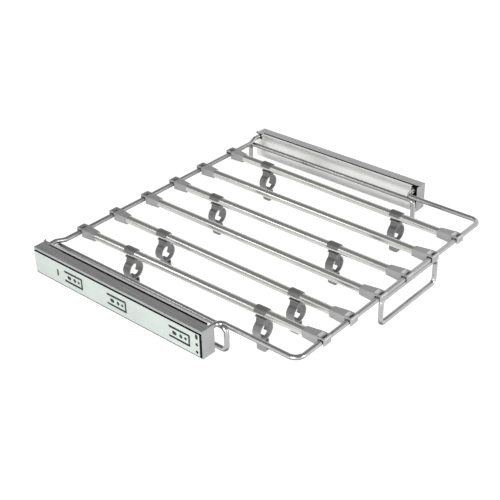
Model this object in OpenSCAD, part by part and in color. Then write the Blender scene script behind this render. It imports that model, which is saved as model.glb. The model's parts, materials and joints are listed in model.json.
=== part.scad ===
// Pull out trouser rack on two full extension ball bearing slides.
// Six rods hook over a wire frame, and eight spring clips slide on four of them.
// X runs from left to right, the rack pulls out along -Y, and Z is up.
// Everything is drawn from the front bottom corner of the slides, then set on the origin.

/* [Overall] */
// Width over both slides, which is the clear width of the cabinet
overall_w = 560; // [540:1:700]
// Length of the slides
slide_l = 354; // [330:1:400]
// Height of the cabinet member
plate_h = 39; // [37:0.5:42]

/* [Slide section] */
// Thickness of the slide from the cabinet to the cover
slide_t = 12.7; // [12.5:0.1:14]
// Thickness of the slide's webs
web_t = 1.2; // [1:0.1:1.3]
// Diameter of the bearing balls
ball_d = 3.4; // [3:0.1:3.5]
// Thickness of the outer flange beside the ball groove
flange_t = 1.6; // [1.4:0.1:1.8]
// Thickness of the ball cages
cage_t = 0.6; // [0.5:0.1:0.7]
// Number of balls in each row
balls_per_row = 10; // [4:1:12]

/* [Mounting features] */
// Diameter of the round screw holes
screw_hole_d = 4.4; // [4:0.1:5]
// Place of the first screw hole behind the front end
first_hole_y = 37; // [34:0.5:42]
// Width of the lanced slots
lance_w = 1.8; // [1.2:0.1:2.4]
// Length of each lanced tongue
lance_l = 38; // [34:0.5:42]
// Height of each lanced tongue
lance_h = 16.5; // [14:0.5:19]

/* [Cover] */
// Width of the end cap, over slide, cover and side profile
cap_w = 24.7; // [24:0.1:30]
// Height of the end cap
cap_h = 46.6; // [46:0.1:50]
// Thickness of the end cap
cap_t = 0.9; // [0.7:0.1:1.5]
// Width of the cover's top flange
cover_w = 17.5; // [16:0.1:19]
// Sheet thickness of cover and side profile
cover_t = 1.2; // [1:0.1:1.4]
// Width of the side profile's top lip
lip_w = 3.9; // [3:0.1:4.5]

/* [Wire frame] */
// Diameter of the frame wire
wire_d = 6; // [5:0.1:6.5]
// Gap from the end cap to the centre of the side wire
side_gap = 18.9; // [15:0.1:22]
// Reach of the front wire ahead of the slides
front_reach = 136; // [120:1:150]
// Height of the frame wire above the bottom of the slides
wire_z = 36.4; // [36:0.1:38]
// Radius of the front corners
corner_r = 15; // [12:0.5:20]
// Height of the side loops between wire centres
loop_h = 39; // [34:0.5:44]
// Corner radius of loops and handle
loop_r = 9; // [8:0.5:12]
// Width of the handle between wire centres
handle_w = 146; // [130:1:160]
// Depth of the handle between wire centres
handle_h = 43; // [38:0.5:50]
// Distance from the middle of the rack to the middle of the handle
handle_x = 30; // [20:1:36]

/* [Rods] */
// Diameter of the rods
rod_d = 10; // [9.5:0.1:10.4]
// Wall of the rods
rod_wall = 1; // [0.8:0.1:1.5]
// Width of the hook heads
head_w = 16.4; // [15.5:0.1:18]
// Length of a hook head behind its wire
head_l = 33; // [30:0.5:38]
// Height of a hook head's top above the wire centre
head_top = 7.5; // [7:0.1:8.5]

/* [Clips] */
// Outer diameter of the spring ring
ring_d = 30.6; // [29:0.1:32]
// Thickness of the spring ring
ring_t = 2.4; // [2:0.1:2.8]
// Width of the spring ring along the rod
ring_w = 14; // [12:0.5:16]
// Distance from the rod's axis down to the ring's centre
ring_drop = 29.5; // [28.5:0.5:32]
// Length of the saddle on the rod
saddle_l = 19.5; // [18:0.5:22]
// Wall of the saddle
saddle_wall = 1.7; // [1.4:0.1:2]
// Height of the jaws
jaw_h = 20.7; // [18:0.1:24]

/* [Hidden] */
$fn = 48;

// Overrun of cuts
cut = 1;
// Gap between faces of different bodies
gap = 0.3;
// Gap between a shaft and its hole, on the radius
fit = 0.05;

// Slide section, measured from the cabinet side and from the slide's centreline
slide_zc = plate_h / 2;
ball_r = ball_d / 2;
groove_r = ball_r + 0.045 * ball_d;
groove_depth = 0.12 * ball_d;
outer_row_z = slide_zc - flange_t + groove_depth - groove_r;
middle_face_z = outer_row_z - groove_r + groove_depth;
middle_t = web_t + 2 * groove_depth;
inner_row_z = middle_face_z - middle_t + groove_depth - groove_r;
inner_face_z = inner_row_z - groove_r + groove_depth;
outer_flange_w = slide_t - web_t - gap;
middle_x = web_t + cage_t + 2.5 * gap;
inner_cage_x = middle_x + web_t + 1.5 * gap;
inner_flange_x = inner_cage_x + cage_t + 1.2 * gap;
outer_row_x = (middle_x + outer_flange_w) / 2;
inner_row_x = (inner_flange_x + outer_flange_w) / 2;
cage_l_share = 0.45;
cage_start_share = 0.27;
cage_l = cage_l_share * slide_l;
cage_y = cage_start_share * slide_l;
ball_margin = ball_d;
bead_r = 0.6 * web_t;

// Mounting features on the cabinet member, repeated at three screw holes
hole_pitch = 32;
hole_steps = [0, 4, 7];
hole_ys = [for (n = hole_steps) first_hole_y + n * hole_pitch];
oval_offset = 12.5;
oval_l = 7;
pilot_offset = 9;
pilot_d = 3;
tongue_front = 16;
end_slot_share = 0.4;
end_slot_y = 300;
edge_hole_y = 6.5;
edge_hole_z = 13;
edge_hole_d = 3.2;

// Cover, side profile and cap
cover_gap = gap;
cover_bottom = -cover_gap - cover_t;
cover_top = cover_bottom + cap_h;
cover_front = -3.7;
cover_edge = 0.5;
cover_lip_h = 4.2;
profile_lip_h = 2;
profile_x = slide_t + cover_t;
profile_front = 7.5;
notch_l = 14;
notch_z = 34.5;
tab_h = 2.4;
tab_w = 3.6;
cap_rib_t = 1.2;
cap_rib_w = 6;
cap_hole_d = 2.6;
cap_hole_x = 7.2;
cap_hole_shares = [0.8, 0.3, 0.12];

// Wire paths
wire_r = wire_d / 2;
side_x = overall_w / 2 - cap_w - side_gap;
front_y = -front_reach;
back_inset = 10.5;
back_y = slide_l - back_inset;
jog_y = 3.2;
jog_r = 11;
tail_r = 6;
channel_x = overall_w / 2 - (profile_x + cap_w - cover_t) / 2;
tail_l = 38;
back_rise = 3.6;
back_jog_inset = 7.5;
back_jog_y = slide_l - back_jog_inset;
back_jog_step = 5;
back_jog_x = side_x + back_jog_step;
kink_swell = 1.004;
loop_front = -9.8;
loop_inset = 0.8;
loop_back = slide_l - loop_inset;
loop_z = wire_z - wire_d;
handle_drop = 5.9;
handle_ahead = 0.9;

// Brackets that hold the tails of the wires
bracket_l = 26;
bracket_inset = 16;
bracket_front_y = bracket_inset;
bracket_back_y = slide_l - bracket_inset - bracket_l;
bracket_foot = 6;
bracket_bottom = slide_zc - bracket_foot;
bracket_wall = 0.8;
bracket_lip_z = cover_top - profile_lip_h - gap;
bracket_lip_x = cap_w - lip_w - gap;
screw_d = 4;
screw_head_d = 7;
screw_head_t = 1.8;
screw_l = 7;

// Rods: places along the cross wires and small skews, as shares of the half span
rod_place_shares = [-0.774, -0.495, -0.19, 0.101, 0.396, 0.715];
rod_skews = [1.05, 0, 0, 0, 0, -0.95];
rod_mid_y = (front_y + back_y) / 2;
rod_half = (back_y - front_y) / 2;
rod_end = 14;
socket_end = 12;

// Hook heads, measured from the wire's centre: u towards the rod, w up
hook_front = 7.8;
hook_nose = 4.5;
hook_slot = 5;
hook_bottom = 6.8;
hook_rim = 4.9;
hook_tip = 5;
hook_round = 2.4;
tongue_w = 12;
tongue_t = 1.5;
tongue_z = wire_r + gap;
ramp_l = 4.5;
ramp_start = 7.5;
collar_l = 3.5;
collar_wall = 1.35;
collar_d = rod_d + 2 * collar_wall;
lip_in = 0.4;

// Clips, measured from the rod's axis
clip_rods = [0, 0, 1, 1, 3, 3, 5, 5];
clip_place_shares = [0.54, -0.552, 0.53, -0.595, 0.59, -0.445, 0.635, -0.525];
saddle_r = rod_d / 2 + gap;
saddle_open = [170, 270];
saddle_lip = 5.6;
ring_r = ring_d / 2;
ring_in = ring_r - ring_t;
pivot_x = 1.6;
pivot_r = 1.6;
pivot_fit = 0.15;
pivot_z = -ring_drop + sqrt(pow(ring_r - ring_t / 2, 2) - pow(pivot_x, 2));
pivot_open = [-66, 0];
cross_angle = 43;
cross_gap = 0.3;
arm_start = 90 - asin(pivot_x / (ring_r - ring_t / 2));
neck_w = 8.4;
neck_boss = 3.4;
neck_left = 118;
neck_right = 56;
pivot_gap = 1.4 * gap;
jaw_t = 3.2;
jaw_in = 0.9;
jaw_tooth = 0.7;
jaw_step = 0.5;
jaw_top = -ring_drop - ring_r - jaw_step;
jaw_overhang = 1.5;
jaw_w = ring_w + 2 * jaw_overhang;
jaw_chamfer = 2;
cross_reach = asin((jaw_in + 0.75 * jaw_t) / ring_r);

// Lowest and middle points of the whole part, which set its origin
low_z = wire_z + jaw_top - jaw_h;
mid_y = (front_y - hook_front + loop_back + wire_r) / 2;

// Sets a child on the part's origin, at the middle of the bottom of its box.
module on_origin() {
    translate([0, -mid_y, -low_z]) children();
}

// Puts a child, drawn inward from the cabinet's side wall, on the left or the right side.
module on_side(side) {
    mirror([side > 0 ? 1 : 0, 0, 0]) translate([-overall_w / 2, 0, 0]) children();
}

// Extrudes an outline given in X and Z along Y.
module along_y(l) {
    rotate([90, 0, 0]) translate([0, 0, -l]) linear_extrude(height = l) children();
}

// Extrudes an outline given in Y and Z along X, centred.
module across_x(w) {
    rotate([90, 0, 90]) translate([0, 0, -w / 2]) linear_extrude(height = w) children();
}

// Turns the Z axis of a child to a direction.
module aim(v) {
    rotate([0, acos(v[2] / norm(v)), atan2(v[1], v[0])]) children();
}

function unit(v) = v / norm(v);
function turn_angle(a, b) = acos(unit(a) * unit(b));
function setback(p, i, r) = r * tan(turn_angle(p[i] - p[i - 1], p[i + 1] - p[i]) / 2);
function trim_at(p, i, radii) = (i == 0 || i == len(p) - 1) ? 0 : setback(p, i, radii[i]);

// One bend of a wire: a piece of a torus from direction a to direction b.
module wire_bend(corner, a, b, r, d) {
    e2 = unit(a);
    n = unit(unit(b) - (unit(b) * e2) * e2);
    e1 = -n;
    e3 = cross(e1, e2);
    angle = turn_angle(a, b);
    c = corner - e2 * r * tan(angle / 2) + n * r;
    multmatrix([
        [e1[0], e2[0], e3[0], c[0]],
        [e1[1], e2[1], e3[1], c[1]],
        [e1[2], e2[2], e3[2], c[2]],
        [0, 0, 0, 1]
    ]) rotate_extrude(angle = angle) translate([r, 0]) circle(d = d);
}

// A wire through points, with a bend radius at each inner point, or 0 for a slight kink.
module wire(p, radii, d) {
    for (i = [0 : len(p) - 2]) {
        v = unit(p[i + 1] - p[i]);
        a = p[i] + v * trim_at(p, i, radii);
        b = p[i + 1] - v * trim_at(p, i + 1, radii);
        translate(a) aim(b - a) cylinder(h = norm(b - a), d = d);
    }
    for (i = [1 : len(p) - 2]) {
        if (radii[i] > 0) wire_bend(p[i], p[i] - p[i - 1], p[i + 1] - p[i], radii[i], d);
        else translate(p[i]) sphere(d = d * kink_swell);
    }
}

// A closed wire loop with equal corner radii.
module closed_wire(p, r, d) {
    n = len(p);
    for (i = [0 : n - 1]) {
        v = unit(p[(i + 1) % n] - p[i]);
        a = p[i] + v * r;
        b = p[(i + 1) % n] - v * r;
        translate(a) aim(b - a) cylinder(h = norm(b - a), d = d);
        wire_bend(p[i], p[i] - p[(i + n - 1) % n], p[(i + 1) % n] - p[i], r, d);
    }
}

// A sector of a disc, for cutting rings open. Angles run anticlockwise.
module wedge(r, from, to) {
    steps = 6;
    polygon(concat([[0, 0]], [for (i = [0 : steps])
        let (t = from + (to - from) * i / steps) [2 * r * cos(t), 2 * r * sin(t)]]));
}

// A part of a flat ring, between two angles.
module ring_sector(outer, inner, from, to) {
    intersection() {
        difference() {
            circle(r = outer);
            circle(r = inner);
        }
        wedge(outer, from, to);
    }
}

// One half of the cabinet member's section: web, flange with its groove, and rolled edge.
module outer_half() {
    difference() {
        union() {
            square([web_t, slide_zc]);
            translate([0, slide_zc - flange_t]) square([outer_flange_w, flange_t]);
            translate([outer_flange_w - bead_r, slide_zc - flange_t]) circle(r = bead_r);
        }
        translate([outer_row_x, outer_row_z]) circle(r = groove_r);
    }
}

// One half of the middle member's section, with a groove on both sides of its flange.
module middle_half() {
    difference() {
        translate([middle_x, 0]) union() {
            square([web_t, middle_face_z]);
            translate([0, middle_face_z - middle_t]) square([outer_flange_w - middle_x, middle_t]);
        }
        translate([outer_row_x, outer_row_z]) circle(r = groove_r);
        translate([inner_row_x, inner_row_z]) circle(r = groove_r);
    }
}

// One half of the inner member's section, whose web lies against the cover.
module inner_half() {
    difference() {
        union() {
            translate([slide_t - web_t, 0]) square([web_t, inner_face_z]);
            translate([inner_flange_x, inner_face_z - flange_t])
                square([slide_t - inner_flange_x, flange_t]);
        }
        translate([inner_row_x, inner_row_z]) circle(r = groove_r);
    }
}

// Draws a half section above and below the slide's centreline.
module mirrored_section() {
    translate([0, slide_zc]) {
        children();
        mirror([0, 1]) children();
    }
}

// Cuts through the cabinet member's web, along X.
module web_hole(y, z, d) {
    translate([-cut, y, z]) rotate([0, 90, 0]) cylinder(h = web_t + 2 * cut, d = d);
}

// A straight slot through the web with round ends, between two places.
module web_slot(y0, z0, y1, z1, w) {
    web_hole(y0, z0, w);
    web_hole(y1, z1, w);
    length = norm([y1 - y0, z1 - z0]);
    translate([-cut, y0, z0]) rotate([atan2(z1 - z0, y1 - y0), 0, 0])
        translate([0, 0, -w / 2]) cube([web_t + 2 * cut, length, w]);
}

// A lanced tongue: three slots round an oval hole, a screw hole and a pilot hole.
module lanced_tongue(y) {
    y0 = y - tongue_front;
    y1 = y0 + lance_l;
    low = slide_zc - lance_h / 2;
    high = slide_zc + lance_h / 2;
    web_slot(y0, low, y1, low, lance_w);
    web_slot(y0, high, y1, high, lance_w);
    web_slot(y0, low, y0, high, lance_w);
    web_hole(y, slide_zc, screw_hole_d);
    web_slot(y + oval_offset - (oval_l - screw_hole_d) / 2, slide_zc,
        y + oval_offset + (oval_l - screw_hole_d) / 2, slide_zc, screw_hole_d);
    web_hole(y - pilot_offset, slide_zc, pilot_d);
}

// The fixed member that is screwed to the cabinet.
module cabinet_member(side) {
    color([0.86, 0.89, 0.87]) on_origin() on_side(side) difference() {
        along_y(slide_l) mirrored_section() outer_half();
        for (y = hole_ys) lanced_tongue(y);
        web_slot(end_slot_y, slide_zc - lance_h / 4, end_slot_y, slide_zc + lance_h / 4, lance_w);
        web_hole(edge_hole_y, slide_zc, edge_hole_d);
        web_hole(edge_hole_y, slide_zc - edge_hole_z, edge_hole_d);
        web_slot(edge_hole_y, slide_zc + edge_hole_z - edge_hole_d / 2,
            edge_hole_y, slide_zc + edge_hole_z + edge_hole_d / 2, edge_hole_d);
    }
}

module middle_member(side) {
    color([0.8, 0.82, 0.81]) on_origin() on_side(side)
        along_y(slide_l) mirrored_section() middle_half();
}

// The member that the cover is screwed to, drilled for the bracket screws.
module inner_member(side) {
    color([0.8, 0.82, 0.81]) on_origin() on_side(side) difference() {
        along_y(slide_l) mirrored_section() inner_half();
        for (y = bracket_screw_ys) bracket_screw_hole(y);
    }
}

function row_ys() = [for (i = [0 : balls_per_row - 1])
    cage_y + ball_margin + i * (cage_l - 2 * ball_margin) / (balls_per_row - 1)];

// A bent strip with a hole for every ball, above and below.
module ball_cage(x, row_x, row_z) {
    flange_l = 2 * (row_x - x);
    difference() {
        translate([0, cage_y, 0]) along_y(cage_l) mirrored_section() union() {
            translate([x, 0]) square([cage_t, row_z + cage_t / 2]);
            translate([x, row_z - cage_t / 2]) square([flange_l, cage_t]);
        }
        for (y = row_ys(), s = [-1, 1]) {
            translate([row_x, y, slide_zc + s * row_z - cage_t])
                cylinder(h = 2 * cage_t, r = ball_r + fit);
        }
    }
}

module outer_ball_cage(side) {
    color([0.72, 0.73, 0.72]) on_origin() on_side(side)
        ball_cage(web_t + gap, outer_row_x, outer_row_z);
}

module inner_ball_cage(side) {
    color([0.72, 0.73, 0.72]) on_origin() on_side(side)
        ball_cage(inner_cage_x, inner_row_x, inner_row_z);
}

// All the balls of one stage, in both slides.
module ball_rows(row_x, row_z) {
    color([0.75, 0.76, 0.78]) on_origin() for (side = [-1, 1]) on_side(side) {
        for (y = row_ys(), s = [-1, 1]) {
            translate([row_x, y, slide_zc + s * row_z]) sphere(d = ball_d);
        }
    }
}

bracket_screw_ys = [bracket_front_y + bracket_l / 2, bracket_back_y + bracket_l / 2];

// The hole of a bracket screw through web, cover and bracket.
module bracket_screw_hole(y) {
    translate([slide_t - web_t - cut, y, slide_zc]) rotate([0, 90, 0])
        cylinder(h = screw_l + web_t + cut, d = screw_d + 2 * fit);
}

// The dark cover: a web on the inner member, a wide top flange with a turned edge, and a foot.
module cover(side) {
    l = slide_l - cover_front;
    color([0.46, 0.46, 0.46]) on_origin() on_side(side) difference() {
        union() {
            translate([0, cover_front, 0]) along_y(l) union() {
                translate([slide_t, cover_bottom]) square([cover_t, cap_h]);
                translate([cover_edge, cover_top - cover_t]) square([cover_w - cover_edge, cover_t]);
                translate([cover_edge, cover_top - cover_lip_h]) square([cover_t, cover_lip_h]);
                translate([cover_edge, cover_bottom]) square([profile_x - cover_edge, cover_t]);
            }
            translate([cover_w - cut, slide_l - notch_l + gap, cover_top - cover_t])
                cube([cap_w - cover_w + cut, notch_l - gap, cover_t]);
            translate([cap_w - tab_w, slide_l - cover_t, cover_top - cover_t])
                cube([tab_w, cover_t, cover_t + tab_h]);
        }
        for (y = bracket_screw_ys) bracket_screw_hole(y);
    }
}

// The light profile towards the trousers, with a lip on top and a foot below.
module side_profile(side) {
    l = slide_l - profile_front;
    inner = cap_w - cover_t;
    color([0.9, 0.91, 0.9]) on_origin() on_side(side) difference() {
        translate([0, profile_front, 0]) along_y(l) union() {
            translate([inner, cover_bottom]) square([cover_t, cap_h]);
            translate([cap_w - lip_w, cover_top - cover_t]) square([lip_w, cover_t]);
            translate([cap_w - lip_w, cover_top - profile_lip_h]) square([cover_t, profile_lip_h]);
            translate([profile_x, cover_bottom]) square([cap_w - profile_x, cover_t]);
        }
        translate([profile_x, slide_l - notch_l, notch_z])
            cube([cap_w - profile_x + cut, notch_l + cut, cap_h]);
    }
}

// The flat cap on the front end, with a rib that locates it in the cover.
// The right cap has a column of small holes.
module end_cap(side) {
    color([0.7, 0.7, 0.7]) on_origin() on_side(side) {
        difference() {
            translate([0, cover_front - cap_t, cover_bottom]) cube([cap_w, cap_t, cap_h]);
            if (side > 0) for (share = cap_hole_shares)
                translate([cap_hole_x, cover_front + cut, cover_bottom + share * cap_h])
                    rotate([90, 0, 0]) cylinder(h = cap_t + 2 * cut, d = cap_hole_d);
        }
        translate([slide_t - cap_rib_t - gap, cover_front, slide_zc - cap_rib_w / 2])
            cube([cap_rib_t, -cover_front - gap, cap_rib_w]);
    }
}

// One bracket between cover and side profile, bored for the tail of a wire.
// Its top keeps clear of the profile's turned lip.
module wire_bracket(y, z) {
    inner = cap_w - cover_t;
    top = z + wire_r + bracket_wall;
    low = min(top, bracket_lip_z);
    difference() {
        translate([0, y, 0]) along_y(bracket_l) polygon([
            [profile_x, bracket_bottom], [inner, bracket_bottom], [inner, low],
            [bracket_lip_x, low], [bracket_lip_x, top], [profile_x, top]
        ]);
        translate([overall_w / 2 - channel_x, y - cut, z]) rotate([-90, 0, 0])
            cylinder(h = bracket_l + 2 * cut, r = wire_r + fit);
        bracket_screw_hole(y + bracket_l / 2);
    }
}

module wire_brackets() {
    color([0.62, 0.65, 0.7]) on_origin() for (side = [-1, 1]) on_side(side) {
        wire_bracket(bracket_front_y, wire_z);
        wire_bracket(bracket_back_y, wire_z + back_rise);
    }
}

// A pan head screw from inside the slide into each bracket.
module bracket_screws() {
    color([0.75, 0.76, 0.78]) on_origin() for (side = [-1, 1]) on_side(side) {
        for (y = bracket_screw_ys) {
            translate([slide_t - web_t - screw_head_t, y, slide_zc]) rotate([0, 90, 0]) {
                cylinder(h = screw_head_t, d = screw_head_d);
                cylinder(h = screw_head_t + screw_l, d = screw_d);
            }
        }
    }
}

// Half of the front wire's route, from the tail in the bracket to the middle of the front.
front_half = [
    [-channel_x, jog_y + tail_l, wire_z],
    [-channel_x, jog_y, wire_z],
    [-side_x, jog_y, wire_z],
    [-side_x, front_y, wire_z]
];
front_radii = [0, tail_r, jog_r, corner_r];

// Half of the back wire's route, from the tail in the bracket to the straight cross wire.
back_half = [
    [-channel_x, back_jog_y - tail_l, wire_z + back_rise],
    [-channel_x, back_jog_y, wire_z + back_rise],
    [-back_jog_x, back_jog_y, wire_z + back_rise],
    [-side_x + jog_r, back_y, wire_z]
];
back_radii = [0, tail_r, 0, 0];

function mirrored_x(p) = [for (i = [len(p) - 1 : -1 : 0]) [-p[i][0], p[i][1], p[i][2]]];
function reversed(r) = [for (i = [len(r) - 1 : -1 : 0]) r[i]];

module front_wire() {
    color([0.72, 0.73, 0.74]) on_origin()
        wire(concat(front_half, mirrored_x(front_half)),
            concat(front_radii, reversed(front_radii)), wire_d);
}

module back_wire() {
    color([0.72, 0.73, 0.74]) on_origin()
        wire(concat(back_half, mirrored_x(back_half)),
            concat(back_radii, reversed(back_radii)), wire_d);
}

// An upright wire loop below a side wire.
module side_loop(side) {
    x = side * side_x;
    color([0.72, 0.73, 0.74]) on_origin() closed_wire([
        [x, loop_front, loop_z],
        [x, loop_back, loop_z],
        [x, loop_back, loop_z - loop_h],
        [x, loop_front, loop_z - loop_h]
    ], loop_r, wire_d);
}

// The handle, a loop whose top bar is welded under the front wire.
module handle_loop() {
    y = front_y - handle_ahead;
    z = wire_z - handle_drop;
    color([0.72, 0.73, 0.74]) on_origin() closed_wire([
        [handle_x - handle_w / 2, y, z],
        [handle_x + handle_w / 2, y, z],
        [handle_x + handle_w / 2, y, z - handle_h],
        [handle_x - handle_w / 2, y, z - handle_h]
    ], loop_r, wire_d);
}

// Puts a child, drawn round the middle of a rod, on rod i.
module on_rod(i) {
    translate([rod_place_shares[i] * side_x, rod_mid_y, wire_z]) rotate([0, 0, rod_skews[i]])
        children();
}

module rod(i) {
    half = rod_half - rod_end;
    color([0.78, 0.79, 0.78]) on_origin() on_rod(i)
        translate([0, -half, 0]) rotate([-90, 0, 0]) difference() {
            cylinder(h = 2 * half, d = rod_d);
            translate([0, 0, -cut]) cylinder(h = 2 * half + 2 * cut, d = rod_d - 2 * rod_wall);
        }
}

// The side view of a hook head: block, slot for the wire and nose.
module hook_side() {
    collar_h = collar_d / 2;
    difference() {
        polygon([
            [-hook_front, -hook_tip + hook_round], [-hook_front, head_top - hook_round],
            [-hook_front + hook_round / 3, head_top - hook_round / 3],
            [-hook_front + hook_round, head_top], [ramp_start, head_top],
            [head_l, collar_h - collar_wall / 2], [head_l, -collar_h],
            [ramp_start + ramp_l, -hook_bottom], [hook_slot, -hook_bottom],
            [hook_slot, -hook_tip], [-hook_nose - lip_in, -hook_tip]
        ]);
        polygon([
            [hook_slot, -hook_bottom - cut], [hook_slot, hook_rim],
            [-hook_nose, hook_rim], [-hook_nose, -hook_tip + 2 * lip_in],
            [-hook_nose + lip_in, -hook_tip], [-hook_nose + lip_in, -hook_bottom - cut]
        ]);
    }
}

// The plan of a hook head, which narrows from the wire to the rod.
module hook_plan() {
    polygon([
        [-head_w / 2, -hook_front + hook_round], [-head_w / 2, ramp_start],
        [-collar_d / 2, head_l], [collar_d / 2, head_l],
        [head_w / 2, ramp_start], [head_w / 2, -hook_front + hook_round],
        [head_w / 2 - hook_round / 3, -hook_front + hook_round / 3],
        [head_w / 2 - hook_round, -hook_front], [-head_w / 2 + hook_round, -hook_front],
        [-head_w / 2 + hook_round / 3, -hook_front + hook_round / 3]
    ]);
}

// A moulded head: its nose and the tongue over the wire hook it on the frame.
module hook_head() {
    difference() {
        union() {
            intersection() {
                across_x(head_w) hook_side();
                translate([0, 0, -2 * head_top]) linear_extrude(height = 4 * head_top) hook_plan();
            }
            translate([-tongue_w / 2, -hook_nose - lip_in, tongue_z])
                cube([tongue_w, hook_slot + hook_nose + 2 * lip_in, tongue_t]);
            translate([0, head_l - collar_l / 2, 0]) rotate([-90, 0, 0])
                cylinder(h = collar_l, d = collar_d);
        }
        across_x(tongue_w) polygon([
            [ramp_start, head_top + cut], [ramp_start, head_top],
            [ramp_start - ramp_l, tongue_z + tongue_t],
            [-hook_nose, tongue_z + tongue_t], [-hook_nose, head_top + cut]
        ]);
        translate([0, socket_end, 0]) rotate([-90, 0, 0])
            cylinder(h = head_l + collar_l, r = rod_d / 2 + fit);
    }
}

module front_hook(i) {
    color([0.6, 0.6, 0.61]) on_origin() on_rod(i) translate([0, -rod_half, 0]) hook_head();
}

module back_hook(i) {
    color([0.6, 0.6, 0.61]) on_origin() on_rod(i) rotate([0, 0, 180])
        translate([0, -rod_half, 0]) hook_head();
}

// The saddle that snaps over the rod, open at its left, with a straight lip below the rod.
module saddle_section() {
    difference() {
        circle(r = saddle_r + saddle_wall);
        circle(r = saddle_r);
        wedge(saddle_r + saddle_wall, saddle_open[0], saddle_open[1]);
    }
    translate([-saddle_lip, -saddle_r - saddle_wall]) square([saddle_lip, saddle_wall]);
}

// The neck between the saddle and the ring, with the socket for the arm's bead.
// Its right shoulder covers the root of the arm.
module neck_section() {
    top = -saddle_r - saddle_wall / 2;
    low = pivot_z - pivot_r - ring_t / 3;
    shoulder_r = ring_r + pivot_gap;
    difference() {
        polygon([
            [-neck_w / 2, top], [neck_w / 2, top],
            [shoulder_r * cos(neck_right), -ring_drop + shoulder_r * sin(neck_right)],
            [pivot_x, low], [-neck_boss / 2, low], [-neck_boss, pivot_z],
            [ring_r * cos(neck_left), -ring_drop + ring_r * sin(neck_left)]
        ]);
        translate([pivot_x, pivot_z]) circle(r = pivot_r + pivot_fit);
        translate([pivot_x, pivot_z]) wedge(ring_r / 2, pivot_open[0], pivot_open[1]);
        intersection() {
            translate([0, -ring_drop]) circle(r = shoulder_r);
            translate([pivot_x, -2 * ring_drop]) square([ring_r, 2 * ring_drop]);
        }
    }
}

// Inner faces of a jaw: ridges that grip, with hollows above and below.
module jaw_section() {
    outer = jaw_in + jaw_t;
    ridge = jaw_in - jaw_tooth;
    hollow = jaw_in + jaw_t / 2;
    polygon([
        [outer, jaw_top], [hollow, jaw_top], [hollow, jaw_top - 0.1 * jaw_h],
        [ridge, jaw_top - 0.22 * jaw_h], [jaw_in, jaw_top - 0.32 * jaw_h],
        [ridge, jaw_top - 0.42 * jaw_h], [jaw_in, jaw_top - 0.52 * jaw_h],
        [ridge, jaw_top - 0.62 * jaw_h], [hollow, jaw_top - 0.75 * jaw_h],
        [ridge, jaw_top - 0.88 * jaw_h], [jaw_in, jaw_top - jaw_h], [outer, jaw_top - jaw_h]
    ]);
}

// The outline of a jaw from the side, with its lower corners cut off.
module jaw_plate() {
    w = jaw_w / 2;
    low = jaw_top - jaw_h;
    across_x(4 * (jaw_in + jaw_t)) polygon([
        [-w, jaw_top], [w, jaw_top], [w, low + jaw_chamfer], [w - jaw_chamfer, low],
        [-w + jaw_chamfer, low], [-w, low + jaw_chamfer]
    ]);
}

module jaw() {
    intersection() {
        translate([0, -jaw_w / 2, 0]) along_y(jaw_w) jaw_section();
        jaw_plate();
    }
}

// The web that carries a jaw below the end of its half ring.
module jaw_web(side) {
    x = side > 0 ? jaw_in + jaw_t / 2 : -jaw_in - jaw_t;
    translate([x, jaw_top - cut]) square([jaw_t / 2, cut + 0.8 * ring_t]);
}

// The left half ring, whose end carries on to the right where it crosses the arm.
module body_section(crosses) {
    neck_section();
    difference() {
        translate([0, -ring_drop]) ring_sector(ring_r, ring_in, 90,
            crosses ? 270 + cross_reach : 180 + cross_angle);
        translate([pivot_x, pivot_z]) circle(r = pivot_r + pivot_fit);
    }
    if (crosses) jaw_web(1);
}

// The right half ring with its bead, whose end carries on to the left where it crosses.
module arm_section(crosses) {
    translate([pivot_x, pivot_z]) circle(r = pivot_r);
    translate([0, -ring_drop]) ring_sector(ring_r, ring_in,
        crosses ? 270 - cross_reach : 360 - cross_angle, 360 + arm_start);
    if (crosses) jaw_web(-1);
}

// The half of a clip that sits on the rod: saddle, neck, left half ring and right jaw.
module clip_body_shape() {
    half = ring_w / 2;
    translate([0, -saddle_l / 2, 0]) along_y(saddle_l) saddle_section();
    translate([0, -half, 0]) along_y(half + cross_gap) body_section(false);
    translate([0, cross_gap, 0]) along_y(half - cross_gap) body_section(true);
    jaw();
}

// The half that swings: bead, right half ring and left jaw.
module clip_arm_shape() {
    half = ring_w / 2;
    translate([0, -half, 0]) along_y(half - cross_gap) arm_section(true);
    translate([0, -cross_gap, 0]) along_y(half + cross_gap) arm_section(false);
    mirror([1, 0, 0]) jaw();
}

// Puts a clip on its rod.
module on_clip(n) {
    on_rod(clip_rods[n]) translate([0, clip_place_shares[n] * rod_half, 0]) children();
}

module clip_body(n) {
    color([0.43, 0.43, 0.45]) on_origin() on_clip(n) clip_body_shape();
}

module clip_arm(n) {
    color([0.52, 0.52, 0.53]) on_origin() on_clip(n) clip_arm_shape();
}

cabinet_member(-1);  // cabinet_member_left
cabinet_member(1);  // cabinet_member_right
middle_member(-1);  // middle_member_left
middle_member(1);  // middle_member_right
outer_ball_cage(-1);  // outer_ball_cage_left
outer_ball_cage(1);  // outer_ball_cage_right
ball_rows(outer_row_x, outer_row_z);  // outer_balls
inner_ball_cage(-1);  // inner_ball_cage_left
inner_ball_cage(1);  // inner_ball_cage_right
ball_rows(inner_row_x, inner_row_z);  // inner_balls
inner_member(-1);  // inner_member_left
inner_member(1);  // inner_member_right
cover(-1);  // cover_left
cover(1);  // cover_right
side_profile(-1);  // side_profile_left
side_profile(1);  // side_profile_right
end_cap(-1);  // end_cap_left
end_cap(1);  // end_cap_right
wire_brackets();
bracket_screws();
front_wire();
back_wire();
side_loop(-1);  // side_loop_left
side_loop(1);  // side_loop_right
handle_loop();
rod(0);  // rod_1
rod(1);  // rod_2
rod(2);  // rod_3
rod(3);  // rod_4
rod(4);  // rod_5
rod(5);  // rod_6
front_hook(0);  // front_hook_1
front_hook(1);  // front_hook_2
front_hook(2);  // front_hook_3
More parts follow.
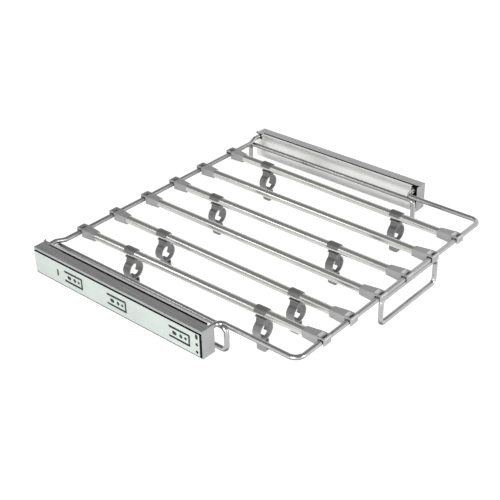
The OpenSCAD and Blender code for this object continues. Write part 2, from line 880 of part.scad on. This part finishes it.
front_hook(3);  // front_hook_4
front_hook(4);  // front_hook_5
front_hook(5);  // front_hook_6
back_hook(0);  // back_hook_1
back_hook(1);  // back_hook_2
back_hook(2);  // back_hook_3
back_hook(3);  // back_hook_4
back_hook(4);  // back_hook_5
back_hook(5);  // back_hook_6
clip_body(0);  // clip_body_1a
clip_body(1);  // clip_body_1b
clip_body(2);  // clip_body_2a
clip_body(3);  // clip_body_2b
clip_body(4);  // clip_body_4a
clip_body(5);  // clip_body_4b
clip_body(6);  // clip_body_6a
clip_body(7);  // clip_body_6b
clip_arm(0);  // clip_arm_1a
clip_arm(1);  // clip_arm_1b
clip_arm(2);  // clip_arm_2a
clip_arm(3);  // clip_arm_2b
clip_arm(4);  // clip_arm_4a
clip_arm(5);  // clip_arm_4b
clip_arm(6);  // clip_arm_6a
clip_arm(7);  // clip_arm_6b
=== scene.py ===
import json
import math

import bmesh
import bpy
from mathutils import Matrix, Vector


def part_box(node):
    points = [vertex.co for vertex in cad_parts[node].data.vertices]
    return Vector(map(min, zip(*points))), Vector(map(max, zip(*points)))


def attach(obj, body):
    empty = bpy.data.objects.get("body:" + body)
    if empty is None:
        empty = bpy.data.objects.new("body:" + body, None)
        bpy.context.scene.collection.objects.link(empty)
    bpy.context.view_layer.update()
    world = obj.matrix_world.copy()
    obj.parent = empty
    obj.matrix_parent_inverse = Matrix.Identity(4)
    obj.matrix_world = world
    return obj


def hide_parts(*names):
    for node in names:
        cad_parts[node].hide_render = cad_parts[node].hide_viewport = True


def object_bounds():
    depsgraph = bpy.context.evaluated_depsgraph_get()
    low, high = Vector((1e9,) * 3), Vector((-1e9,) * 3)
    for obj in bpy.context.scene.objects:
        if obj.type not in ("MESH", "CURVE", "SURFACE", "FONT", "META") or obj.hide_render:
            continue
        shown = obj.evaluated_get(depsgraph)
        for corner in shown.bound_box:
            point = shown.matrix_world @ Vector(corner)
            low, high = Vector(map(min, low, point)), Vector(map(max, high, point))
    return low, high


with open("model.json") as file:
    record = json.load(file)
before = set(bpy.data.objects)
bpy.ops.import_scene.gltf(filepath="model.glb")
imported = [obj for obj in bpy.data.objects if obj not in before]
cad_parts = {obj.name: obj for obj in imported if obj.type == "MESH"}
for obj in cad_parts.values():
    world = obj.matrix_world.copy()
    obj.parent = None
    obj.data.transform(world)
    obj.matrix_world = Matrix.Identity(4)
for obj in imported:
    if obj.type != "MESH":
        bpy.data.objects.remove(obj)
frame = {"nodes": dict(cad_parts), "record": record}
cad_low, cad_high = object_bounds()
NODES = frame["nodes"]
BODY_OF = {node: body for body, nodes in frame["record"]["behaviour"]["bodies"].items() for node in nodes}
SLOT_OF = {part["node"]: part["material_slot"] for part in frame["record"]["subparts"]}
MM = 0.001

# Camera, solved from the photograph: place in mm, angles in radians, focal length in pixels
CAMERA_PLACE_MM = (-1080.7, -907.7, 894.0)
CAMERA_AZIMUTH = -0.84809
CAMERA_ELEVATION = 0.548632
CAMERA_ROLL = -0.022194
FOCAL_PX = 1022.0989
FRAME_PX = 500
SENSOR_MM = 36
CLIP_END = 100

# Studio, in metres and watts. A lamp has its place, its size and its power.
LAMPS = {
    "key_left": ((-2.2, -0.9, 0.7), 1.0, 40),
    "front": ((0.3, -2.4, 0.8), 1.0, 26),
    "rim_left": ((-2.0, 1.7, 1.5), 0.5, 4),
}
LAMP_AIM = (0, 0, 0.04)
FLOOR_LOW = (-30, -30)
FLOOR_HIGH = (30, 30)
FLOOR_DROP = 0.0005
FLOOR_GLOW = 0.84
CEILING_LOW = (-4.3, -9.5)
CEILING_HIGH = (3.3, 8.0)
CEILING_HEIGHT = 3.2
CEILING_GLOW = 0.25
WORLD_GLOW = 0.34

# Base colours, linear
ZINC = (0.62, 0.675, 0.64)
# Near black: painted shade inside the slide, seen through the plate's slots
SLIDE_SHADE_BLACK = (0.05, 0.052, 0.055)
# Dark steel, partly its own colour and partly painted shade for the plate's slots
MIDDLE = (0.17, 0.175, 0.175)
BALL = (0.62, 0.64, 0.63)
COVER = (0.40, 0.40, 0.405)
PROFILE = (0.88, 0.885, 0.87)
# Near black: painted shade in channels, pockets and shaded edges
CHANNEL_SHADE = (0.016, 0.016, 0.017)
CAP = (0.42, 0.42, 0.42)
WIRE = (0.47, 0.47, 0.47)
ROD = (0.60, 0.595, 0.575)
HOOK = (0.40, 0.40, 0.40)
CLIP = (0.30, 0.30, 0.30)
BRACKET = (0.30, 0.35, 0.43)
FLOOR = (0.60, 0.60, 0.60)
WHITE = (1, 1, 1, 1)

# Directions of a grain, as stretches of the object coordinates, and how fine each noise is
EVEN = (1, 1, 1)
ALONG_Y = (1, 0.015, 1)
ALONG_X = (0.015, 1, 1)
FLOW_ALONG_Y = (1, 0.35, 1)
CLOUD_FINE = 22
FLOW_FINE = 70
# How fine the noise in the painted channel shade is
CHANNEL_SHADE_FINE = 120
SKIN_FINE = 2600
FLOOR_FINE = 30
NOISE_ROUGH = 0.55
NOISE_LOW = 0.3
NOISE_HIGH = 0.7
RELIEF = 0.02 * MM

# Ranges of tone and of roughness, as factors that a noise moves between
CLOUD_TONES = (0.95, 1.04)
FLOW_TONES = (0.93, 1.06)
SKIN_TONES = (0.94, 1.06)
# Tones of the noise in the painted channel shade
CHANNEL_SHADE_TONES = (0.7, 1.3)
FLOOR_TONES = (0.99, 1.01)
STREAK_ROUGHS = (0.82, 1.2)
FLOW_ROUGHS = (0.85, 1.2)

# How much a surface mirrors, and how strongly its relief shows
PLASTIC_SHINE = 0.45
FLOOR_SHINE = 0.1
FLOOR_ROUGH = 0.9
DRAWN_RELIEF = 0.35
SKIN_RELIEF = 0.2

# How much of a normal has to point one way before its face counts as facing it
FACING = 0.5
SLANT = 0.3
ACROSS = 0.2

# Heights and normals between which a tone changes; the clip's and the undersides' tones are painted shade
COVER_SPLIT_MM = 45
SADDLE_SHADE_FROM_MM = 40
SADDLE_SHADE_TO_MM = 62
UNDER_FROM = 0.05
UNDER_FULL = -0.3

# What the photograph shows thicker than the solids, added to the radius or to each side
ROD_EXTRA_MM = 1.8
WIRE_EXTRA_MM = 1.0
SADDLE_EXTRA_MM = 1.75
SLOT_EXTRA_MM = 1.1

# The skew of each rod in degrees, and distances from the nodes' boxes and middles
ROD_SKEWS = (1.05, 0, 0, 0, 0, -0.95)
ROD_IN_HOOK_MM = 2
SADDLE_REACH_MM = 9.2
SADDLE_LOW_MM = -8
LIP_MM = 5
MOUTH_MM = 4.9
THIN_MM = 20
PLATE_ROLL_MM = 3
PLATE_END_MM = 2.5
PLATE_SHADOW_MM = 1

# Edges: widths by material slot, then the angles and the distance that shape them
SOFT_EDGES_MM = {
    "cap_grey": 0.2,
    "hook_grey": 0.45,
    "clip_grey": 0.25,
    "cover_dark": 0.3,
    "profile_light": 0.3,
}
EDGE_SEGMENTS = 2
EDGE_DEGREES = 28
SHARP_DEGREES = 32
FLAT_DEGREES = 1
MERGE = 0.001 * MM


def box_mm(node):
    """The low corner, the high corner and the middle of a node's box, in mm."""
    low, high = (Vector(corner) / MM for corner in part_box(node))
    return low, high, (low + high) / 2


def wire_lines_mm():
    """Y and Z of the front wire and of the back wire, which lie evenly about the rods' middle."""
    low, high, middle = box_mm("front_wire")
    radius = (high.z - low.z) / 2
    front = low.y + radius
    return (front, middle.z), (2 * box_mm("rod_1")[2].y - front, middle.z)


# Small helpers for shader nodes

def node_tree(name):
    """A new material with its node tree and its shader."""
    material = bpy.data.materials.new(name)
    material.use_nodes = True
    tree = material.node_tree
    shader = next(n for n in tree.nodes if n.type == "BSDF_PRINCIPLED")
    return material, tree, shader


def output_of(tree):
    return next(n for n in tree.nodes if n.type == "OUTPUT_MATERIAL")


def place(tree, scale=EVEN):
    """Object coordinates, stretched to set the direction of a grain."""
    coordinates = tree.nodes.new("ShaderNodeTexCoord")
    mapping = tree.nodes.new("ShaderNodeMapping")
    mapping.inputs["Scale"].default_value = scale
    tree.links.new(coordinates.outputs["Object"], mapping.inputs["Vector"])
    return mapping.outputs["Vector"]


def axes(tree, kind):
    """X, Y and Z of the object coordinates ("Object") or of the object's normal ("Normal")."""
    coordinates = tree.nodes.new("ShaderNodeTexCoord")
    split = tree.nodes.new("ShaderNodeSeparateXYZ")
    tree.links.new(coordinates.outputs[kind], split.inputs["Vector"])
    return split.outputs


def noise(tree, vector, scale, detail):
    texture = tree.nodes.new("ShaderNodeTexNoise")
    texture.inputs["Scale"].default_value = scale
    texture.inputs["Detail"].default_value = detail
    texture.inputs["Roughness"].default_value = NOISE_ROUGH
    tree.links.new(vector, texture.inputs["Vector"])
    return texture.outputs["Fac"]


def remap(tree, value, low, high, from_low=NOISE_LOW, from_high=NOISE_HIGH):
    """The value's range stretched to the one from low to high, and held inside it."""
    node = tree.nodes.new("ShaderNodeMapRange")
    node.inputs["From Min"].default_value = from_low
    node.inputs["From Max"].default_value = from_high
    node.inputs["To Min"].default_value = low
    node.inputs["To Max"].default_value = high
    tree.links.new(value, node.inputs["Value"])
    return node.outputs["Result"]


def maths(tree, operation, a, b=None):
    """A math node's value, where b is a socket, a number or left out."""
    node = tree.nodes.new("ShaderNodeMath")
    node.operation = operation
    tree.links.new(a, node.inputs[0])
    if isinstance(b, (int, float)):
        node.inputs[1].default_value = b
    elif b is not None:
        tree.links.new(b, node.inputs[1])
    return node.outputs["Value"]


def product(tree, *values):
    total = values[0]
    for value in values[1:]:
        total = maths(tree, "MULTIPLY", total, value)
    return total


def either(tree, *masks):
    """1 where any of the masks is 1, else 0."""
    total = masks[0]
    for mask in masks[1:]:
        total = maths(tree, "MAXIMUM", total, mask)
    return total


def above(tree, value, limit):
    return maths(tree, "GREATER_THAN", value, limit)


def below(tree, value, limit):
    return maths(tree, "LESS_THAN", value, limit)


def shade(tree, colour, value):
    """The colour times a value that varies over the surface."""
    node = tree.nodes.new("ShaderNodeVectorMath")
    node.operation = "SCALE"
    node.inputs[0].default_value = colour
    tree.links.new(value, node.inputs["Scale"])
    return node.outputs["Vector"]


def bump(tree, shader, height, strength):
    node = tree.nodes.new("ShaderNodeBump")
    node.inputs["Strength"].default_value = strength
    node.inputs["Distance"].default_value = RELIEF
    tree.links.new(height, node.inputs["Height"])
    tree.links.new(node.outputs["Normal"], shader.inputs["Normal"])


# Masks and fades over the surface, for painted shade and painted highlight

def painted_underside_shade(tree, dark):
    """Painted shade: 1 on what looks up or sideways, falling to dark on what looks down."""
    return remap(tree, axes(tree, "Normal")["Z"], dark, 1.0, UNDER_FULL, UNDER_FROM)


def painted_saddle_shade(tree, saddle_shade):
    """Painted shade: 1 low on the clip, darkening to the given factor near the rod."""
    return remap(tree, axes(tree, "Object")["Z"], 1.0, saddle_shade, SADDLE_SHADE_FROM_MM * MM, SADDLE_SHADE_TO_MM * MM)


def painted_highlight_mask(tree):
    """Where the painted highlight goes: 1 on faces and rounded edges that look up and along the rods at once,
    else 0.
    """
    normal = axes(tree, "Normal")
    along = maths(tree, "ABSOLUTE", normal["Y"])
    return product(tree, above(tree, along, SLANT), above(tree, normal["Z"], SLANT))


def face_sides(tree):
    """How far each face looks away from the part's middle plane, how far up, and its height."""
    normal = axes(tree, "Normal")
    point = axes(tree, "Object")
    side = maths(tree, "SIGN", point["X"])
    return product(tree, normal["X"], side), normal["Z"], point["Z"]


def cover_inside(tree):
    """Where the cover gets painted shade: its faces towards the slide, its undersides, and the top of its
    foot.
    """
    outward, up, height = face_sides(tree)
    foot_top = product(tree, below(tree, height, COVER_SPLIT_MM * MM), above(tree, up, FACING))
    return either(tree, below(tree, outward, -FACING), below(tree, up, -FACING), foot_top)


def profile_inside(tree):
    """Where the profile gets painted shade: its faces towards the slide and the undersides of its upper lip.
    """
    outward, up, height = face_sides(tree)
    lip_under = product(tree, below(tree, up, -FACING), above(tree, height, COVER_SPLIT_MM * MM))
    return either(tree, above(tree, outward, FACING), lip_under)


def near_line(tree, y_mm, z_mm, reach_mm):
    """1 within the reach of a line along X, else 0."""
    coordinates = tree.nodes.new("ShaderNodeTexCoord")
    flat = tree.nodes.new("ShaderNodeVectorMath")
    flat.operation = "MULTIPLY"
    tree.links.new(coordinates.outputs["Object"], flat.inputs[0])
    flat.inputs[1].default_value = (0, 1, 1)
    distance = tree.nodes.new("ShaderNodeVectorMath")
    distance.operation = "DISTANCE"
    tree.links.new(flat.outputs["Vector"], distance.inputs[0])
    distance.inputs[1].default_value = (0, y_mm * MM, z_mm * MM)
    return below(tree, distance.outputs["Value"], reach_mm * MM)


def hook_mouth(tree):
    """Where the hook gets painted shade: its pocket round the wire, at either end of the rod."""
    return either(tree, *(near_line(tree, y, z, MOUTH_MM) for y, z in wire_lines_mm()))


def plate_edges(tree):
    """The plate's rolled edges and its front end, which lie in the shadow of cover and cap."""
    low, high = box_mm("cabinet_member_left")[:2]
    point = axes(tree, "Object")
    top = above(tree, point["Z"], (high.z - PLATE_SHADOW_MM) * MM)
    bottom = below(tree, point["Z"], (low.z + PLATE_SHADOW_MM) * MM)
    front = below(tree, point["Y"], (low.y + PLATE_SHADOW_MM) * MM)
    return either(tree, top, bottom, front)


# Kinds of surface

def brushed(name, colour, metallic, rough, grain=EVEN, contrast=0.12, fine=900, under_shade=None):
    """Sheet or wire with a drawn grain: long streaks in colour, roughness and relief, and painted shade on
    what looks down where asked.
    """
    material, tree, shader = node_tree(name)
    streaks = noise(tree, place(tree, grain), fine, detail=3)
    clouds = noise(tree, place(tree), CLOUD_FINE, detail=3)
    tone = product(
        tree,
        remap(tree, streaks, 1 - contrast, 1 + contrast),
        remap(tree, clouds, *CLOUD_TONES),
    )
    if under_shade:
        tone = product(tree, tone, painted_underside_shade(tree, under_shade))
    tree.links.new(shade(tree, colour, tone), shader.inputs["Base Color"])
    roughness = remap(tree, streaks, *(rough * share for share in STREAK_ROUGHS))
    tree.links.new(roughness, shader.inputs["Roughness"])
    shader.inputs["Metallic"].default_value = metallic
    bump(tree, shader, streaks, DRAWN_RELIEF)
    return material


def moulded(name, colour, metallic, rough, saddle_shade=1.0, highlight_gain=1.0):
    """Moulded plastic with a metallic pigment and a fine skin, darker near the rods by painted shade.
    Slanted faces are painted brighter as a highlight."""
    material, tree, shader = node_tree(name)
    skin = noise(tree, place(tree), SKIN_FINE, detail=2)
    flow = noise(tree, place(tree, FLOW_ALONG_Y), FLOW_FINE, detail=4)
    tone = product(
        tree,
        remap(tree, skin, *SKIN_TONES),
        remap(tree, flow, *FLOW_TONES),
        painted_saddle_shade(tree, saddle_shade),
        remap(tree, painted_highlight_mask(tree), 1.0, highlight_gain, 0, 1),
    )
    tree.links.new(shade(tree, colour, tone), shader.inputs["Base Color"])
    roughness = remap(tree, flow, *(rough * share for share in FLOW_ROUGHS))
    tree.links.new(roughness, shader.inputs["Roughness"])
    shader.inputs["Metallic"].default_value = metallic
    shader.inputs["Specular IOR Level"].default_value = PLASTIC_SHINE
    bump(tree, shader, skin, SKIN_RELIEF)
    return material


def with_painted_shade(material, mask_of):
    """The finished material with painted shade, almost black where the mask is 1: the shaded insides of a
    channel.
    """
    tree = material.node_tree
    output = output_of(tree)
    outer = output.inputs["Surface"].links[0].from_socket
    # Painted shade: a near-black diffuse whose tone varies with a little noise
    inside = tree.nodes.new("ShaderNodeBsdfDiffuse")
    shade_noise = noise(tree, place(tree), CHANNEL_SHADE_FINE, detail=3)
    tree.links.new(shade(tree, CHANNEL_SHADE, remap(tree, shade_noise, *CHANNEL_SHADE_TONES)), inside.inputs["Color"])
    mix = tree.nodes.new("ShaderNodeMixShader")
    tree.links.new(mask_of(tree), mix.inputs["Fac"])
    tree.links.new(outer, mix.inputs[1])
    tree.links.new(inside.outputs["BSDF"], mix.inputs[2])
    tree.links.new(mix.outputs["Shader"], output.inputs["Surface"])
    return material


# One material for each slot of the record, and one more for the middle members

def zinc_plate():
    plate = brushed("zinc_plate", ZINC, metallic=0.55, rough=0.42, grain=ALONG_Y, contrast=0.05, fine=700)
    # Painted shade on the plate's edges under the cover and the cap
    return with_painted_shade(plate, plate_edges)


def slide_shade_steel():
    # Painted shade: the slide's insides made near black, as seen through the slots
    return brushed("slide_shade_steel", SLIDE_SHADE_BLACK, metallic=0.4, rough=0.55, grain=ALONG_Y, contrast=0.25)


def middle_steel():
    return brushed("middle_steel", MIDDLE, metallic=0.7, rough=0.45, grain=ALONG_Y)


def ball_steel():
    return brushed("ball_steel", BALL, metallic=1.0, rough=0.16, contrast=0.04, fine=400)


def dark_cover():
    cover = brushed("dark_cover", COVER, metallic=0.8, rough=0.27, grain=ALONG_Y, contrast=0.22, fine=950)
    # Painted shade on the cover's insides
    return with_painted_shade(cover, cover_inside)


def pale_profile():
    pale = brushed("pale_profile", PROFILE, metallic=0.85, rough=0.35, grain=ALONG_Y, contrast=0.05, fine=600)
    # Painted shade on the profile's insides
    return with_painted_shade(pale, profile_inside)


def end_cap():
    return brushed("end_cap", CAP, metallic=0.35, rough=0.44, grain=ALONG_X, contrast=0.1, fine=800)


def frame_wire():
    # Painted shade on the wire's undersides
    return brushed("frame_wire", WIRE, metallic=0.9, rough=0.2, contrast=0.06, fine=500, under_shade=0.22)


def satin_rod():
    return brushed("satin_rod", ROD, metallic=0.88, rough=0.21, grain=ALONG_Y, contrast=0.05, fine=700)


def hook_head():
    # Painted shade in the mouth round the wire, and a painted highlight on slanted faces
    return with_painted_shade(moulded("hook_head", HOOK, metallic=0.5, rough=0.36, highlight_gain=1.9), hook_mouth)


def clip_plastic():
    # Painted shade on the saddle near the rod
    return moulded("clip", CLIP, metallic=0.4, rough=0.4, saddle_shade=0.62)


def blue_zinc():
    return brushed("blue_zinc", BRACKET, metallic=0.6, rough=0.35, fine=300)


MATERIALS = {
    "slide_zinc": zinc_plate(),
    "slide_steel": slide_shade_steel(),
    "middle_steel": middle_steel(),
    "ball_steel": ball_steel(),
    "cover_dark": dark_cover(),
    "profile_light": pale_profile(),
    "cap_grey": end_cap(),
    "wire_steel": frame_wire(),
    "rod_satin": satin_rod(),
    "hook_grey": hook_head(),
    "clip_grey": clip_plastic(),
    "bracket_zinc": blue_zinc(),
}


def give(obj, slot):
    """The slot's material, or the middle members' own."""
    own = "middle_steel" if obj.name.startswith("middle_member") else slot
    obj.data.materials.clear()
    obj.data.materials.append(MATERIALS[own])


# Forms that depart a little from the solids

def reshape_rod(node, work):
    """The rod at the thickness that the photograph shows, ending just inside its hooks."""
    index = int(node.split("_")[1])
    slope = -math.tan(math.radians(ROD_SKEWS[index - 1]))
    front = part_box("front_hook_%d" % index)[1][1] - ROD_IN_HOOK_MM * MM
    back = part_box("back_hook_%d" % index)[0][1] + ROD_IN_HOOK_MM * MM
    for vert in work.verts:
        away = Vector((vert.normal.x, 0, vert.normal.z))
        if away.length > ACROSS:
            vert.co += away.normalized() * ROD_EXTRA_MM * MM
        y = min(max(vert.co.y, front), back)
        vert.co.x += (y - vert.co.y) * slope
        vert.co.y = y


def reshape_wire(node, work):
    """The wire at the thickness that the photograph shows, inside the part's box along Y.
    A loop that is thin along Y keeps its new thickness and moves as a whole."""
    for vert in work.verts:
        vert.co += vert.normal * WIRE_EXTRA_MM * MM
    ys = [vert.co.y for vert in work.verts]
    low, high = min(ys), max(ys)
    new_low, new_high = max(low, cad_low[1]), min(high, cad_high[1])
    if high - low < THIN_MM * MM:
        new_high = new_low + high - low
    for vert in work.verts:
        vert.co.y = new_low + (vert.co.y - low) * (new_high - new_low) / (high - low)


def reshape_clip(node, work):
    """The saddle, widened round the rod by as much as the rod is. Its lip moves down only."""
    index = int(node.split("_")[2][0])
    turn = math.radians(ROD_SKEWS[index - 1])
    rod = box_mm("rod_%d" % index)[2]
    for vert in work.verts:
        x, y, z = vert.co / MM
        across = (x - rod.x) * math.cos(turn) + (y - rod.y) * math.sin(turn)
        up = z - rod.z
        radius = math.hypot(across, up)
        if radius < SADDLE_REACH_MM and up > SADDLE_LOW_MM:
            if across < -LIP_MM and up < -LIP_MM:
                vert.co.z -= SADDLE_EXTRA_MM * MM
            else:
                away = Vector((across * math.cos(turn), across * math.sin(turn), up)) / radius
                vert.co += away * SADDLE_EXTRA_MM * MM


def reshape_plate(node, work):
    """The plate with its slots and holes a little wider, as the photograph shows them."""
    low, high, middle = box_mm(node)
    web_half = (high.z - low.z) / 2 - PLATE_ROLL_MM
    inner_half = (high.y - low.y) / 2 - PLATE_END_MM
    for vert in work.verts:
        away = Vector((0, vert.normal.y, vert.normal.z))
        in_web = abs(vert.co.z / MM - middle.z) < web_half and abs(vert.co.y / MM - middle.y) < inner_half
        if in_web and away.length > ACROSS:
            vert.co -= away.normalized() * SLOT_EXTRA_MM * MM


RESHAPES = {
    "rod_": reshape_rod,
    "front_wire": reshape_wire,
    "back_wire": reshape_wire,
    "side_loop_": reshape_wire,
    "handle_loop": reshape_wire,
    "clip_body_": reshape_clip,
    "cabinet_member_": reshape_plate,
}


def soften(piece, width_mm):
    """Rounds the piece's edges to the width."""
    edges = piece.modifiers.new("edges", "BEVEL")
    edges.width = width_mm * MM
    edges.segments = EDGE_SEGMENTS
    edges.limit_method = "ANGLE"
    edges.angle_limit = math.radians(EDGE_DEGREES)
    edges.harden_normals = False
    edges.use_clamp_overlap = True


def smooth(piece):
    """Smooth shading, kept sharp where faces meet at a large angle."""
    mesh = piece.data
    mesh.polygons.foreach_set("use_smooth", [True] * len(mesh.polygons))
    mesh.set_sharp_from_angle(angle=math.radians(SHARP_DEGREES))
    weights = piece.modifiers.new("normals", "WEIGHTED_NORMAL")
    weights.keep_sharp = True


def stand_in(node, width_mm, reshape):
    """A copy of a CAD node that stands for it, with its edges rounded or its form adjusted."""
    mesh = NODES[node].data.copy()
    work = bmesh.new()
    work.from_mesh(mesh)
    bmesh.ops.remove_doubles(work, verts=work.verts, dist=MERGE)
    if reshape:
        work.normal_update()
        reshape(node, work)
    if width_mm:
        flat = math.radians(FLAT_DEGREES)
        bmesh.ops.dissolve_limit(
            work, angle_limit=flat, verts=work.verts, edges=work.edges, delimit={"NORMAL"}
        )
    work.to_mesh(mesh)
    work.free()
    piece = bpy.data.objects.new(node + "_finish", mesh)
    bpy.context.scene.collection.objects.link(piece)
    if width_mm:
        soften(piece, width_mm)
    smooth(piece)
    give(piece, SLOT_OF[node])
    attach(piece, BODY_OF[node])
    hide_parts(node)


def dress_nodes():
    """Every node gets its material, and a stand-in where its edges or its form change."""
    for node, obj in NODES.items():
        give(obj, SLOT_OF[node])
        reshape = next((change for start, change in RESHAPES.items() if node.startswith(start)), None)
        width_mm = SOFT_EDGES_MM.get(SLOT_OF[node], 0)
        if reshape or width_mm:
            stand_in(node, width_mm, reshape)


# The studio

def seen_directly(tree):
    """1 for rays from the camera and for those that metal or glass passes on, else 0."""
    rays = tree.nodes.new("ShaderNodeLightPath").outputs
    return either(tree, rays["Is Camera Ray"], rays["Is Glossy Ray"], rays["Is Transmission Ray"])


def plane(name, low, high, height, material):
    """A level rectangle of the stage, between two corners."""
    mesh = bpy.data.meshes.new(name)
    corners = [(low[0], low[1], 0), (high[0], low[1], 0), (high[0], high[1], 0), (low[0], high[1], 0)]
    mesh.from_pydata(corners, [], [(0, 1, 2, 3)])
    obj = bpy.data.objects.new(name, mesh)
    bpy.context.scene.collection.objects.link(obj)
    obj.location.z = height
    mesh.materials.append(material)


def stage_floor():
    """A pale floor that reads as white, with the object's soft shadow."""
    material, tree, shader = node_tree("floor")
    grain = noise(tree, place(tree), FLOOR_FINE, detail=2)
    tree.links.new(shade(tree, FLOOR, remap(tree, grain, *FLOOR_TONES)), shader.inputs["Base Color"])
    shader.inputs["Roughness"].default_value = FLOOR_ROUGH
    shader.inputs["Specular IOR Level"].default_value = FLOOR_SHINE
    glow = tree.nodes.new("ShaderNodeEmission")
    tree.links.new(remap(tree, seen_directly(tree), 0.0, FLOOR_GLOW, 0, 1), glow.inputs["Strength"])
    both = tree.nodes.new("ShaderNodeAddShader")
    tree.links.new(shader.outputs["BSDF"], both.inputs[0])
    tree.links.new(glow.outputs["Emission"], both.inputs[1])
    tree.links.new(both.outputs["Shader"], output_of(tree).inputs["Surface"])
    plane("floor", FLOOR_LOW, FLOOR_HIGH, cad_low[2] - FLOOR_DROP, material)


def stage_ceiling():
    """A dark card far above the camera, which upward faces and the tops of rods mirror."""
    material, tree, shader = node_tree("ceiling")
    tree.nodes.remove(shader)
    glow = tree.nodes.new("ShaderNodeEmission")
    glow.inputs["Strength"].default_value = CEILING_GLOW
    tree.links.new(glow.outputs["Emission"], output_of(tree).inputs["Surface"])
    plane("ceiling", CEILING_LOW, CEILING_HIGH, CEILING_HEIGHT, material)


def stage_world():
    """White wherever it is seen, and dimmer as a light on matt surfaces."""
    world = bpy.data.worlds.new("studio")
    bpy.context.scene.world = world
    world.use_nodes = True
    tree = world.node_tree
    background = next(n for n in tree.nodes if n.type == "BACKGROUND")
    background.inputs["Color"].default_value = WHITE
    strength = remap(tree, seen_directly(tree), WORLD_GLOW, 1.0, 0, 1)
    tree.links.new(strength, background.inputs["Strength"])


def stage_lights():
    for name, (lamp_place, size, power) in LAMPS.items():
        data = bpy.data.lights.new(name, "AREA")
        data.shape = "SQUARE"
        data.size = size
        data.energy = power
        lamp = bpy.data.objects.new(name, data)
        lamp.location = lamp_place
        lamp.rotation_euler = (Vector(LAMP_AIM) - Vector(lamp_place)).to_track_quat("-Z", "Y").to_euler()
        bpy.context.scene.collection.objects.link(lamp)


def stage_camera():
    """The camera where the photograph was taken from, turned by its small roll."""
    level = math.cos(CAMERA_ELEVATION)
    back = Vector((
        math.sin(CAMERA_AZIMUTH) * level,
        -math.cos(CAMERA_AZIMUTH) * level,
        math.sin(CAMERA_ELEVATION),
    ))
    right = (-back).cross(Vector((0, 0, 1))).normalized()
    up = right.cross(-back)
    x_axis = math.cos(CAMERA_ROLL) * right + math.sin(CAMERA_ROLL) * up
    y_axis = -math.sin(CAMERA_ROLL) * right + math.cos(CAMERA_ROLL) * up
    turn = Matrix((x_axis, y_axis, back)).transposed().to_4x4()
    data = bpy.data.cameras.new("camera")
    data.sensor_width = SENSOR_MM
    data.lens = FOCAL_PX / FRAME_PX * SENSOR_MM
    data.clip_end = CLIP_END
    camera = bpy.data.objects.new("camera", data)
    camera.matrix_world = Matrix.Translation(Vector(CAMERA_PLACE_MM) * MM) @ turn
    bpy.context.scene.collection.objects.link(camera)
    bpy.context.scene.camera = camera


dress_nodes()
stage_floor()
stage_ceiling()
stage_world()
stage_lights()
stage_camera()
bpy.context.scene.view_settings.view_transform = "Standard"
